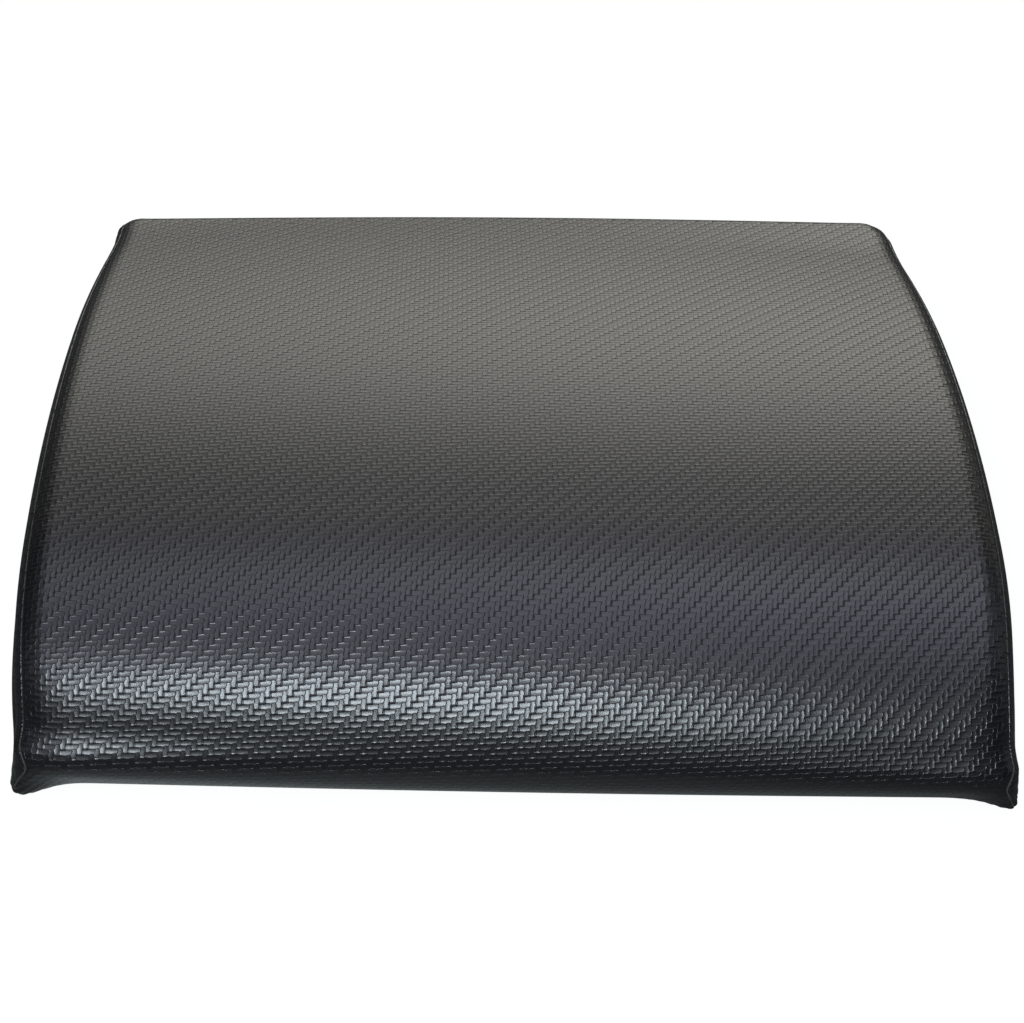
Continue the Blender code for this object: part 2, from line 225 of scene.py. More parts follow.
# Shares of the solids' volume that the padded pieces fill
cover_fill = 0.85
core_fill = 1.0

left, right = -1, 1
front, rear = -1, 1


# Side outline of the mat: from the front base seam round the nose, over the crest, round the tail


def smooth_step(share):
    share = np.clip(share, 0, 1)
    return share * share * (3 - 2 * share)


def turn_points(centre, radius, start, end):
    """Points and outward normals along a round end, between two angles."""
    angles = np.linspace(start, end, outline_steps)
    normals = np.stack([np.cos(angles), np.sin(angles)], 1)
    return centre + radius * normals, normals


def cubic_points(a, b, c, d):
    """Points of a cubic curve and their normals, to the left of the way it runs."""
    t = np.linspace(0, 1, outline_steps)[:, None]
    s = 1 - t
    points = s**3 * a + 3 * s * s * t * b + 3 * s * t * t * c + t**3 * d
    along = s * s * (b - a) + 2 * s * t * (c - b) + t * t * (d - c)
    along /= np.linalg.norm(along, axis=1)[:, None]
    return points, np.stack([-along[:, 1], along[:, 0]], 1)


nose = np.array([-depth / 2 + nose_radius, nose_radius])
tail = np.array([depth / 2 - tail_radius, tail_radius])
crest = np.array([depth * (crest_depth_share - 0.5), height])


def side_outline():
    """Lengths, points and normals along the outline, in order from the front base seam."""
    face_angle = pi / 2 + face_slope
    slope_angle = pi / 2 - tail_slope
    face_start = nose + nose_radius * np.array([cos(face_angle), sin(face_angle)])
    slope_end = tail + tail_radius * np.array([cos(slope_angle), sin(slope_angle)])
    climb = np.array([cos(face_slope), sin(face_slope)])
    fall = np.array([cos(tail_slope), -sin(tail_slope)])
    level = np.array([1, 0])
    rise_reach = np.linalg.norm(crest - face_start)
    fall_reach = np.linalg.norm(slope_end - crest)
    face_handle = face_start + climb * rise_reach * rise_handle_shares[0]
    crest_handles = (
        crest - level * rise_reach * rise_handle_shares[1],
        crest + level * fall_reach * fall_handle_shares[0],
    )
    slope_handle = slope_end - fall * fall_reach * fall_handle_shares[1]
    parts = [
        turn_points(nose, nose_radius, 3 * pi / 2, face_angle),
        cubic_points(face_start, face_handle, crest_handles[0], crest),
        cubic_points(crest, crest_handles[1], slope_handle, slope_end),
        turn_points(tail, tail_radius, slope_angle, -pi / 2),
    ]
    points, normals = (np.concatenate(kind) for kind in zip(*parts))
    steps = np.linalg.norm(np.diff(points, axis=0), axis=1)
    return np.concatenate([[0], np.cumsum(steps)]), points, normals


outline_lengths, outline_points, outline_normals = side_outline()
outline_end = outline_lengths[-1]
nose_tip_length = outline_lengths[np.argmin(outline_points[:, 0])]
tail_tip_length = outline_lengths[np.argmax(outline_points[:, 0])]


def outline_at(length):
    """Depth, height and normal of the outline at these lengths along it."""
    values = np.concatenate([outline_points, outline_normals], 1).T
    return [np.interp(length, outline_lengths, row) for row in values]


def rounded(from_end, radius):
    """How far a round end lies inside a square one, at this distance from the end."""
    into = np.clip(radius - from_end, 0, radius)
    return radius - np.sqrt(radius**2 - into**2)


def upper_side(y, values):
    """Values along the outline, where its upper side crosses these depths."""
    upper = (outline_lengths >= nose_tip_length) & (outline_lengths <= tail_tip_length)
    return np.interp(y, outline_points[upper, 0], values[upper])


def upper_height(y):
    return upper_side(y, outline_points[:, 1])


def lower_height(y):
    return rounded(depth / 2 + y, nose_radius) + rounded(depth / 2 - y, tail_radius)


# Skin of the cushion, on arrays of points


def half_width(y, side):
    rear_radius = rear_left_corner_radius if side == left else rear_right_corner_radius
    cuts = rounded(depth / 2 - y, rear_radius) + rounded(depth / 2 + y, front_corner_radius)
    along_taper = np.clip(y - (depth / 2 - rear_taper_length), 0, None) / rear_taper_length
    full = side_fullness * (1 - np.clip(np.abs(y) / side_fullness_reach, 0, 1) ** 2)
    return width / 2 + full - cuts - rear_taper * along_taper**2


def softness(y, z):
    thickness = upper_height(y) - lower_height(y)
    return smooth_step(z / soft_height) * smooth_step(thickness / soft_thickness)


def skin(place_on, across, roll, side, inset):
    """Points of the skin. across is the share of the flat part, roll the angle round the edge."""
    y, z, normal_y, normal_z = place_on
    soft = softness(y, z)
    radius = hem_radius + (edge_radius - hem_radius) * soft
    inner = np.maximum(radius - inset, 0)
    drop = crown * soft * across**2 + inset + inner * (1 - np.cos(roll))
    spot_y = y - normal_y * drop
    spot_z = z - normal_z * drop
    reach = half_width(spot_y, side) - inset - inner
    x = across * reach + side * inner * np.sin(roll)
    return np.stack(np.broadcast_arrays(x, spot_y, spot_z), -1)


def radii(place_on):
    """Radius of the roll at the cover's edge, and of the fold at its seams: tight by the hem."""
    soft = softness(*place_on[:2])
    roll = hem_radius + (edge_radius - hem_radius) * soft
    return roll, hem_fold_radius + (fold_radius - hem_fold_radius) * soft


def ears(spots):
    """The same points, a little askew as on the real mat, and pushed out at the base's corners."""
    moved = spots.copy()
    x, y = spots[..., 0], spots[..., 1]
    to_end = smooth_step((np.abs(y) - askew_start) / (depth / 2 - askew_start))
    moved[..., 1] += askew_length * x * to_end * np.sign(y)
    moved[..., 0] += askew_sideways * to_end * (y < 0)
    middle = 1 - smooth_step((np.abs(x) - front_fullness_edge) / front_fullness_fade)
    moved[..., 1] -= front_fullness * middle * to_end * (y < 0)
    to_right = smooth_step((x - right_nose_start) / (right_nose_end - right_nose_start))
    by_nose = np.exp(-(((spots[..., 2] - right_nose_height) / right_nose_reach) ** 2))
    moved[..., 1] -= right_nose_fullness * by_nose * to_right * to_end * (y < 0)
    for side, end, (reach, out, sideways, lengthways, inset) in (
        (left, front, front_left_ear),
        (left, rear, rear_ear),
        (right, front, front_right_ear),
        (right, rear, rear_ear),
    ):
        end_y = end * (depth / 2 - ear_setback)
        corner = np.array([side * (half_width(end_y, side) - inset), end_y, ear_height])
        near = np.exp(-((spots - corner) ** 2).sum(-1) / (2 * reach**2))
        gathers = np.cos((spots[..., 0] * side + spots[..., 2]) * (2 * pi / gather_spacing))
        push = near * (out + gather_depth * gathers)
        moved[..., 0] += push * side * sideways
        moved[..., 1] += push * end * lengthways
        moved[..., 2] *= 1 - ear_sag * near * (end == front)
    return moved


def settled(made):
    """A finished mesh, moved the way the cover's points are."""
    spots = ears(np.array([vertex.co for vertex in made.data.vertices]))
    made.data.vertices.foreach_set("co", spots.astype(np.float32).reshape(-1))
    made.data.update()
    return made


# Meshes of the cover


def object_from(name, data):
    made = bpy.data.objects.new(name, data)
    bpy.context.scene.collection.objects.link(made)
    return made


def reshape(mesh, change):
    """Opens a mesh for a change, and closes it again."""
    shape = bmesh.new()
    shape.from_mesh(mesh)
    change(shape)
    shape.to_mesh(mesh)
    shape.free()


def merge_close(shape, distance=merge_distance):
    bmesh.ops.remove_doubles(shape, verts=shape.verts, dist=distance)


def turn_outwards(shape):
    bmesh.ops.recalc_face_normals(shape, faces=shape.faces)


def shell(name, outer, inner, cut, closed_ends=False):
    """A closed wall between two grids of points. cut holds the flat cut of each outer point."""
    rows, columns = outer.shape[:2]
    count = rows * columns
    number = np.arange(count).reshape(rows, columns)
    corners = (number[:-1, :-1], number[:-1, 1:], number[1:, 1:], number[1:, :-1])
    faces = np.stack(corners, -1).reshape(-1, 4)
    inner_faces = faces[:, ::-1] + count
    rims = [number[0], number[-1][::-1]]
    if not closed_ends:
        rims += [number[:, -1], number[::-1, 0]]
    pairs = [(rim[1:], rim[:-1]) for rim in rims]
    sides = [np.stack([new, old, old + count, new + count], 1) for new, old in pairs]
    all_faces = np.concatenate([faces, inner_faces, *sides])
    mesh = bpy.data.meshes.new(name)
    points = np.concatenate([outer.reshape(-1, 3), inner.reshape(-1, 3)])
    mesh.from_pydata(points.tolist(), [], all_faces.tolist())
    cuts = np.concatenate([cut.reshape(-1, 2)] * 2)
    layer = mesh.uv_layers.new(name="cut")
    layer.data.foreach_set("uv", cuts[all_faces.reshape(-1)].astype(np.float32).reshape(-1))
    if closed_ends:
        reshape(mesh, merge_close)
    return mesh_outwards(object_from(name, mesh))


def spaced(start, end, spacing):
    steps = max(1, round((end - start) / spacing))
    return np.linspace(start, end, steps, endpoint=False)


def top_rows():
    """Lengths along the outline of the top panel's rows, close together by its seams."""
    folds = np.array(fold_row_shares) * hem_fold_radius
    places = (folds[-1], front_close_length, outline_end - rear_close_length)
    spacings = (close_spacing, wide_row_spacing, close_spacing)
    ends = (*places[1:], outline_end - folds[-1])
    rows = [spaced(*stretch) for stretch in zip(places, ends, spacings)]
    return np.concatenate([folds[:-1], *rows, outline_end - folds[::-1]])


def top_columns():
    """For the right half: across share, share of the roll before the fold, share of the fold."""
    half = width / 2 - edge_radius
    start = half - side_close_width
    flat = [*spaced(0, start, wide_column_spacing), *spaced(start, half, close_spacing)]
    columns = [(place / half, 0.0, None) for place in flat]
    columns += [(1.0, step / roll_steps, None) for step in range(roll_steps)]
    columns += [(1.0, 1.0, share) for share in fold_row_shares[::-1]]
    return columns


def top_panel():
    """From the front base seam, round the nose, over the crest and round the tail."""
    lengths = top_rows()
    place_on = outline_at(lengths)
    radius, fold = radii(place_on)
    seam_roll = seam_angle - seam_gap / 2 / radius
    fold_start = seam_roll - fold_row_shares[-1] * fold / radius
    from_ends = np.minimum(lengths, outline_end - lengths)
    half = top_columns()
    columns = [(left, *column) for column in half[:0:-1]] + [(right, *column) for column in half]
    outer, inner, cut = [], [], []
    for side, share, rolled, fold_share in columns:
        roll = fold_start * rolled if fold_share is None else seam_roll - fold_share * fold / radius
        to_seam = (seam_roll - roll) * radius + (1 - share) * width / 2
        sunk = rounded(np.minimum(to_seam, from_ends), fold)
        wall = np.maximum(vinyl, sunk + least_wall)
        outer.append(skin(place_on, side * share, roll, side, sunk))
        inner.append(skin(place_on, side * share, roll, side, wall))
        reach = half_width(place_on[0], side) - radius
        cut.append(np.stack([side * (share * reach + roll * radius), lengths], 1))
    outer, inner, cut = (np.array(grid) for grid in (outer, inner, cut))
    return shell("cover_top", ears(outer), ears(inner), cut)


def side_depths():
    turns = np.linspace(0, pi / 2, side_turn_rows + 1)
    at_nose = nose[0] - nose_radius * np.cos(turns[:-1])
    between = spaced(nose[0], tail[0], side_column_spacing)
    return np.concatenate([at_nose, between, tail[0] + tail_radius * np.sin(turns)])


def side_panel(name, side):
    """From the top panel's seam round the edge, down the face and round to the base seam."""
    y = side_depths()
    upper = outline_at(upper_side(y, outline_lengths))
    in_nose = np.clip((nose[0] - y) / nose_radius, 0, 1)
    in_tail = np.clip((y - tail[0]) / tail_radius, 0, 1)
    lower_y = in_tail - in_nose
    lower = [y, lower_height(y), lower_y, -np.sqrt(np.clip(1 - lower_y**2, 0, 1))]
    on_base = (y >= nose[0]) & (y <= tail[0])
    grids = []
    for thickness in (0, vinyl):
        rings = side_rings(upper, side, seam_angle * np.ones_like(y), thickness)
        for share in np.linspace(0, 1, side_face_rows)[1:-1]:
            rings.append(side_face(upper, lower, side, share, thickness))
        rings += side_rings(lower, side, np.where(on_base, 0, seam_angle), thickness)[::-1]
        grids.append(np.array(rings))
    outer, inner = grids
    down = np.linalg.norm(np.diff(outer, axis=0), axis=2)
    from_base = np.concatenate([np.cumsum(down[::-1], axis=0)[::-1], np.zeros((1, len(y)))])
    cut = np.stack([np.broadcast_to(side * outer[..., 1], from_base.shape), from_base], -1)
    parts = (grid[:, ::side] for grid in (ears(outer), ears(inner), cut))
    return shell(name, *parts, closed_ends=True)


def side_rings(place_on, side, seam, thickness):
    """Rows of the side from a seam, through the fold and round the edge to the side's face."""
    radius, fold = radii(place_on)
    start = seam + seam_gap / 2 / radius
    fold_end = start + fold_row_shares[-1] * fold / radius
    rolls = [start + share * fold / radius for share in fold_row_shares]
    rolls += [fold_end + (pi / 2 - fold_end) * share for share in side_roll_shares]
    rings = []
    for roll in rolls:
        sunk = rounded((roll - start) * radius, fold)
        inset = np.maximum(thickness, sunk + least_wall) if thickness else sunk
        rings.append(skin(place_on, side, roll, side, inset))
    return rings


def side_face(upper, lower, side, share, inset):
    """Points of the side's face. share runs from 0 at its upper rim to 1 at its lower rim."""
    top = skin(upper, side, pi / 2, side, inset)
    bottom = skin(lower, side, pi / 2, side, inset)
    spots = top + (bottom - top) * share
    tall = smooth_step((upper_height(upper[0]) - lower_height(upper[0])) / height)
    bulge = side_bulge * tall * 4 * share * (1 - share)
    spots[:, 0] = side * (half_width(spots[:, 1], side) - inset + bulge)
    return spots


# Seams: a cord that closes each one under the fold, and the thread that holds it


def unit(vectors):
    return vectors / np.linalg.norm(vectors, axis=-1, keepdims=True)


def side_seam(side, under):
    """Points of a side seam and their outward normals, this deep under the skin."""
    place_on = outline_at(np.arange(0, outline_end, seam_cord_spacing))
    points, on_top = (ears(skin(place_on, side, seam_angle, side, inset)) for inset in (under, 0))
    return points, unit(on_top - points)


def base_seam(under):
    """The same for the closed loop round the base."""
    y = np.linspace(nose[0], tail[0], round((tail[0] - nose[0]) / seam_cord_spacing))
    along = {side: side * (half_width(y, side) - hem_radius) for side in (left, right)}
    shares = np.linspace(0, 1, round(width / seam_cord_spacing))[1:-1]
    front_x = along[left][0] + (along[right][0] - along[left][0]) * shares
    rear_x = along[right][-1] + (along[left][-1] - along[right][-1]) * shares
    x = np.concatenate([along[right], rear_x, along[left][::-1], front_x])
    flat_y = np.concatenate([y, np.full_like(rear_x, y[-1]), y[::-1], np.full_like(front_x, y[0])])
    points = ears(np.stack([x, flat_y, np.full_like(x, under)], 1))
    return points, np.tile([0.0, 0.0, -1.0], (len(x), 1))


def tube(name, points, normals, radius, closed=False):
    """A round cord along points, with flat ends unless it is a loop."""
    along = np.roll(points, -1, 0) - np.roll(points, 1, 0)
    if not closed:
        along[0], along[-1] = points[1] - points[0], points[-1] - points[-2]
    across = unit(np.cross(unit(along), normals))
    turns = np.arange(cord_sides) * 2 * pi / cord_sides
    rings = points[:, None] + radius * (
        np.cos(turns)[:, None] * normals[:, None] + np.sin(turns)[:, None] * across[:, None]
    )
    number = np.arange(len(points) * cord_sides).reshape(-1, cord_sides)
    beside, following = np.roll(number, -1, 1), np.roll(number, -1, 0)
    faces = np.stack([number, following, np.roll(following, -1, 1), beside], -1)
    if closed:
        faces = faces.reshape(-1, 4).tolist()
    else:
        ends = [number[0].tolist(), number[-1, ::-1].tolist()]
        faces = faces[:-1].reshape(-1, 4).tolist() + ends
    mesh = bpy.data.meshes.new(name)
    mesh.from_pydata(rings.reshape(-1, 3).tolist(), [], faces)
    return mesh_outwards(object_from(name, mesh))


def mesh_outwards(made):
    reshape(made.data, turn_outwards)
    made.data.shade_smooth()
    return made


def together(name, pieces):
    """One object from several meshes that share a finish."""

    def make(shape):
        for piece in pieces:
            shape.from_mesh(piece.data)
            bpy.data.objects.remove(piece, do_unlink=True)

    return small_shape(name, make)


# Small shapes that geometry nodes repeat


def small_shape(name, make):
    shape = bmesh.new()
    make(shape)
    mesh = bpy.data.meshes.new(name)
    shape.to_mesh(mesh)
    shape.free()
    mesh.shade_smooth()
    return object_from(name, mesh)


def thread_stitch(name, size):
    """One stitch: a plump oval of thread."""

    def make(shape):
        around, along = stitch_sides
        bmesh.ops.create_uvsphere(shape, u_segments=around, v_segments=along, radius=0.5)
        bmesh.ops.scale(shape, vec=size, verts=shape.verts)

    return small_shape(name, make)


def grip_dot():
    """A flat round dome."""

    def make(shape):
        around, along = dot_sides
        bmesh.ops.create_uvsphere(shape, u_segments=around, v_segments=along, radius=1)
        below = [vertex for vertex in shape.verts if vertex.co.z < -merge_distance]
        bmesh.ops.delete(shape, geom=below, context="VERTS")
        rim = [edge for edge in shape.edges if edge.is_boundary]
        bmesh.ops.contextual_create(shape, geom=rim)
        bmesh.ops.scale(shape, vec=(dot_radius, dot_radius, sheet_low), verts=shape.verts)
        turn_outwards(shape)

    return small_shape("grip_dot", make)


def zip_tooth():
    """A moulded tooth: foot round the tape's edge, neck and head, with slimmer rims."""
    head = chain_half_width - chain_middle_gap / 2
    half_head, half_neck = tooth_head_width / 2, tooth_neck_width / 2
    stations = (
        (half_head, 0),
        (half_head, 0.30),
        (half_neck, 0.45),
        (half_neck, 0.60),
        (half_head, 0.74),
        (tooth_tip_width / 2, 1),
    )
    rise = [(x, head * share) for x, share in stations]
    outline = rise + [(-x, y) for x, y in rise[::-1]]
    middle = np.array([0, head / 2])
    flat = np.array(outline)
    slim = middle + (flat - middle) * tooth_edge_share
    half = chain_thickness / 2
    flank = half * tooth_flank_share
    levels = ((slim, -half), (flat, -flank), (flat, flank), (slim, half))

    def make(shape):
        rings = [[shape.verts.new((x, y, z)) for x, y in plan] for plan, z in levels]
        count = len(outline)
        for low, high in zip(rings, rings[1:]):
            for n in range(count):
                shape.faces.new((low[n], low[(n + 1) % count], high[(n + 1) % count], high[n]))
        shape.faces.new(rings[0][::-1])
        shape.faces.new(rings[-1])
        turn_outwards(shape)

    made = small_shape("zip_tooth", make)
    made.data.shade_flat()
    return made


def path_object(name, lines):
    """Points that carry their upward direction, joined along each line. lines: (points, ups)."""
    points, ups = (np.concatenate(kind) for kind in zip(*lines))
    edges, start = [], 0
    for line, _ in lines:
        edges += [(start + n, start + n + 1) for n in range(len(line) - 1)]
        start += len(line)
    mesh = bpy.data.meshes.new(name)
    mesh.from_pydata(points.tolist(), edges, [])
    layer = mesh.attributes.new("up", "FLOAT_VECTOR", "POINT")
    layer.data.foreach_set("vector", ups.astype(np.float32).reshape(-1))
    return object_from(name, mesh)


def repeat_tree(on_lines):
    """Geometry nodes that put an item on each point, or at a spacing along lines."""
    group = bpy.data.node_groups.new("repeat", "GeometryNodeTree")
    face = group.interface
    kinds = {"Geometry": "Geometry", "Item": "Object", "Spacing": "Float", "Finish": "Material"}
    for name, kind in kinds.items():
        face.new_socket(name, in_out="INPUT", socket_type=f"NodeSocket{kind}")
    face.new_socket("Geometry", in_out="OUTPUT", socket_type="NodeSocketGeometry")
    tree = Tree(group)
    given = tree.node("NodeGroupInput").outputs
    points = given["Geometry"]
    settings = {"data_type": "FLOAT_VECTOR"}
    up = tree.output("GeometryNodeInputNamedAttribute", {"Name": "up"}, settings)
    turn = tree.output("FunctionNodeAlignRotationToVector", {"Vector": up}, {"axis": "Z"})
    if on_lines:
        line = tree.output("GeometryNodeMeshToCurve", {0: points})
        sockets = {"Curve": line, "Length": given["Spacing"]}
        points = tree.output("GeometryNodeResampleCurve", sockets, {"mode": "LENGTH"})
        sockets = {"Rotation": turn, "Vector": tree.output("GeometryNodeInputTangent", {})}
        settings = {"axis": "X", "pivot_axis": "Z"}
        turn = tree.output("FunctionNodeAlignRotationToVector", sockets, settings)
    item = tree.node("GeometryNodeObjectInfo", {}, {"Object": given["Item"]}).outputs["Geometry"]
    sockets = {"Points": points, "Instance": item, "Rotation": turn}
    placed = tree.output("GeometryNodeInstanceOnPoints", sockets)
    real = tree.output("GeometryNodeRealizeInstances", {0: placed})
    sockets = {"Geometry": real, "Material": given["Finish"]}
    finished = tree.output("GeometryNodeSetMaterial", sockets)
    tree.node("NodeGroupOutput", {}, {0: finished})
    return group


def repeated(name, lines, item, finish, spacing=None):
    """The item repeated on points or along lines, as one plain mesh. The item itself goes."""
    made = path_object(name, lines)
    group = repeat_tree(spacing is not None)
    inputs = {"Item": item, "Spacing": spacing or 0.0, "Finish": finish}
    modifier = made.modifiers.new("repeat", "NODES")
    modifier.node_group = group
    for socket in group.interface.items_tree:
        if socket.in_out == "INPUT" and socket.name in inputs:
            modifier[socket.identifier] = inputs[socket.name]
    bpy.context.view_layer.update()
    graph = bpy.context.evaluated_depsgraph_get()
    mesh = bpy.data.meshes.new_from_object(made.evaluated_get(graph))
    made.modifiers.clear()
    made.data = mesh
    mesh.name = name
    bpy.data.objects.remove(item, do_unlink=True)
    return made


def level_line(start, end, up):
    return np.array([start, end], float), np.array([up, up], float)


# Base, with its zip

zip_y = depth / 2 - zip_from_rear
slider_x = zip_slot_half_length - tab_length - tab_end_clearance
chain_end = slider_x + slider_length / 2 + slider_end_clearance - seam_gap


def base_edge(y, side):
    return side * (half_width(y, side) - hem_radius - seam_gap)


def base_sheet(name, side):
    """A flat panel with a notch for its half of the zip's slot."""
    far = nose[0] if side == front else tail[0]
    y = np.linspace(far - side * seam_gap, zip_y + side * seam_gap / 2, base_edge_steps)
    far_x = np.linspace(base_edge(y[0], left), base_edge(y[0], right), base_edge_steps)[1:-1]
    notch_x, notch_y = zip_slot_half_length, zip_y + side * zip_slot_half_width
    notch = [(notch_x, y[-1]), (notch_x, notch_y), (-notch_x, notch_y), (-notch_x, y[-1])]
    right_edge, left_edge = (list(zip(base_edge(y, end), y)) for end in (right, left))
    outline = right_edge + notch + left_edge[::-1] + [(x, y[0]) for x in far_x]

    def make(shape):
        face = shape.faces.new([shape.verts.new((x, y, sheet_low)) for x, y in outline])
        grown = bmesh.ops.extrude_face_region(shape, geom=[face])["geom"]
        lifted = [part for part in grown if isinstance(part, bmesh.types.BMVert)]
        bmesh.ops.translate(shape, vec=(0, 0, base_vinyl - sheet_low), verts=lifted)
        turn_outwards(shape)

    made = settled(small_shape(name, make))
    made.data.shade_flat()
    return soften(made, sheet_edge)


def soften(made, edge):
    bevel = made.modifiers.new("soft edges", "BEVEL")
    bevel.width = edge
    bevel.segments = soft_edge_steps
    bevel.angle_limit = sharp_angle
    return made


def dot_places():
    """Staggered rows of dots on both base panels, clear of the seams and the zip."""
    row_pitch = dot_spacing * sin(pi / 3)
    rows = np.arange(nose[0] + dot_border, tail[0] - dot_border, row_pitch)
    clear = zip_slot_half_width + tape_sewn_width + dot_border / 2
    points = []
    for number, y in enumerate(rows):
        low = base_edge(y, left) + dot_border
        high = base_edge(y, right) - dot_border
        steps = np.arange(-round(width / dot_spacing), round(width / dot_spacing) + 1)
        x = (steps + (number % 2) / 2) * dot_spacing
        keep = (x > low) & (x < high)
        if abs(y - zip_y) < clear:
            keep &= np.abs(x) > zip_slot_half_length + dot_border
        if abs(y - zip_y) < dot_border / 2:
            continue
        points += [(across, y, sheet_low) for across in x[keep]]
    return ears(np.array(points)), np.tile([0.0, 0.0, -1.0], (len(points), 1))


def slot_rows():
    """Rows of stitches on the underside, round the zip's slot."""
    level = sheet_low - stitch_thickness / 4
    rows = []
    for inset in slot_stitch_insets:
        x, y = zip_slot_half_length + inset, zip_slot_half_width + inset
        rows += [((-x, side * y), (x, side * y)) for side in (front, rear)]
    x, y = zip_slot_half_length + slot_stitch_insets[0], zip_slot_half_width
    rows += [((side * x, -y), (side * x, y)) for side in (left, right)]
    return [level_line(*[(x, zip_y + y, level) for x, y in row], (0, 0, -1)) for row in rows]


def zip_tape(name, side):
    """From its sewn edge on the base panel the tape rises in a soft curve to the chain."""
    sewn_height = base_vinyl + fit_gap + tape_thickness / 2
    sewn_edge = zip_slot_half_width + tape_sewn_width + zip_end_room - fit_gap
    high = np.array([slider_width / 2 + fit_gap, chain_height])
    low = np.array([zip_slot_half_width + zip_end_room / 2, sewn_height])
    shares = np.linspace(0, 1, tape_rows)
    slope = high + (low - high) * np.stack([shares, smooth_step(shares)], 1)
    chain_edge = (chain_half_width + fit_gap, chain_height)
    profile = np.array([chain_edge, *slope, (sewn_edge, sewn_height)])
    half_length = zip_slot_half_length + zip_end_room
    x = np.linspace(-half_length, half_length, tape_columns)
    # Past the stops the two tapes meet
    closed = smooth_step((np.abs(x) - tape_close_start) / tape_close_length)
    reaches = np.tile(profile[:, :1], (1, tape_columns))
    reaches[0] += (fit_gap - reaches[0]) * closed
    grids = []
    for lift in (-tape_thickness / 2, tape_thickness / 2):
        levels = np.tile(profile[:, 1:] + lift, (1, tape_columns))
        grids.append(np.stack(np.broadcast_arrays(x, zip_y + side * reaches, levels), -1))
    across = np.concatenate([[0], np.cumsum(np.linalg.norm(np.diff(profile, axis=0), axis=1))])
    cut = np.stack(np.meshgrid(x, across), -1)
    return shell(name, *grids, cut)


def zip_row(name, side, finish):
    """One row of the chain: moulded teeth over a bead on the tape's edge."""
    count = int(2 * chain_end / tooth_pitch)
    first = -(count - 1) * tooth_pitch / 2 + side * tooth_pitch / 4
    ends = (first, first + (count - 1) * tooth_pitch)[::-side]
    y = zip_y + side * chain_half_width
    line = level_line(*[(x, y, chain_height) for x in ends], (0, 0, 1))
    teeth = repeated(name, [line], zip_tooth(), finish, tooth_pitch * spacing_slack)
    x = np.linspace(-chain_end, chain_end, 3)
    y = zip_y + side * (chain_half_width - bead_radius)
    points = np.stack([x, np.full_like(x, y), np.full_like(x, chain_height)], 1)
    bead = tube("bead", points, np.tile([0.0, 0.0, 1.0], (3, 1)), bead_radius)
    bead.data.materials.append(finish)
    made = together(name, [teeth, bead])
    made.data.materials.append(finish)
    made.data.shade_flat()
    return made


def merged_copy(node, name):
    """A copy of a solid with its loose triangles joined into whole faces."""
    made = frame["nodes"][node].copy()
    made.data = made.data.copy()
    made.name = name
    for key in list(made.keys()):
        del made[key]
    made.parent = None
    bpy.context.scene.collection.objects.link(made)
    made.data.materials.clear()

    def join(shape):
        merge_close(shape, merge_distance / 2)
        edges = {"verts": shape.verts, "edges": shape.edges}
        bmesh.ops.dissolve_limit(shape, angle_limit=flat_angle, **edges)

    reshape(made.data, join)
    return made


def squeezed_core():
    """The foam, squeezed in by the cover. Its faces are cut near the corners so that they bend."""

    def squeeze(shape):
        for vertex in shape.verts:
            vertex.co -= vertex.normal * core_squeeze
        steps = np.arange(0, core_cut_reach, core_cut_spacing)
        for side, step in [(side, step) for side in (left, right) for step in steps]:
            for place, way in (
                ((side * (width / 2 - step), 0, 0), (1, 0, 0)),
                ((0, side * (depth / 2 - step), 0), (0, 1, 0)),
            ):
                whole = shape.verts[:] + shape.edges[:] + shape.faces[:]
                bmesh.ops.bisect_plane(shape, geom=whole, plane_co=place, plane_no=way)

    made = merged_copy("foam_core", "core")
    reshape(made.data, squeeze)
    return settled(made)


# Node trees


class Tree:
    """A node tree written from Python: node() sets a node's settings, then plugs its sockets."""

    def __init__(self, tree):
        self.tree = tree

    def node(self, kind, settings=None, sockets=None):
        made = self.tree.nodes.new(kind)
        for name, value in (settings or {}).items():
            if name == "stops":
                set_stops(made.color_ramp, value)
            else:
                setattr(made, name, value)
        for name, value in (sockets or {}).items():
            self.plug(made.inputs[name], value)
        return made

    def plug(self, socket, value):
        if isinstance(value, Value):
            value = value.socket
        if isinstance(value, bpy.types.NodeSocket):
            self.tree.links.new(value, socket)
        else:
            socket.default_value = value

    def output(self, kind, sockets, settings=None):
        """The first output of a new node."""
        return self.node(kind, settings, sockets).outputs[0]

    def value(self, *node):
        return Value(self, self.output(*node))

    def math(self, operation, *numbers):
        return self.value("ShaderNodeMath", dict(enumerate(numbers)), {"operation": operation})


def operation(kind, turned=False):
    """A method of Value that adds one Math node. turned puts the value itself last."""

    def method(self, *others):
        numbers = (*others, self) if turned else (self, *others)
        return self.tree.math(kind, *numbers)

    return method


class Value:
    """A number that varies over a surface. Sums and products of values add their Math nodes."""

    def __init__(self, tree, socket):
        self.tree = tree
        self.socket = socket

    __add__ = __radd__ = operation("ADD")
    __sub__ = operation("SUBTRACT")
    __rsub__ = operation("SUBTRACT", turned=True)
    __mul__ = __rmul__ = operation("MULTIPLY")
    __truediv__ = operation("DIVIDE")
    power = operation("POWER")
    floor = operation("FLOOR")
    fraction = operation("FRACT")
    cosine = operation("COSINE")
    at_most = operation("MINIMUM")
    at_least = operation("MAXIMUM")

    def share(self, low, high):
        """0 up to low, 1 from high, and smooth between them."""
        sockets = {"Value": self, "From Min": low, "From Max": high}
        settings = {"interpolation_type": "SMOOTHSTEP"}
        return self.tree.value("ShaderNodeMapRange", sockets, settings)


# Sockets of a colour's Mix node
mix_factor, mix_first, mix_second, mix_result = 0, 6, 7, 2


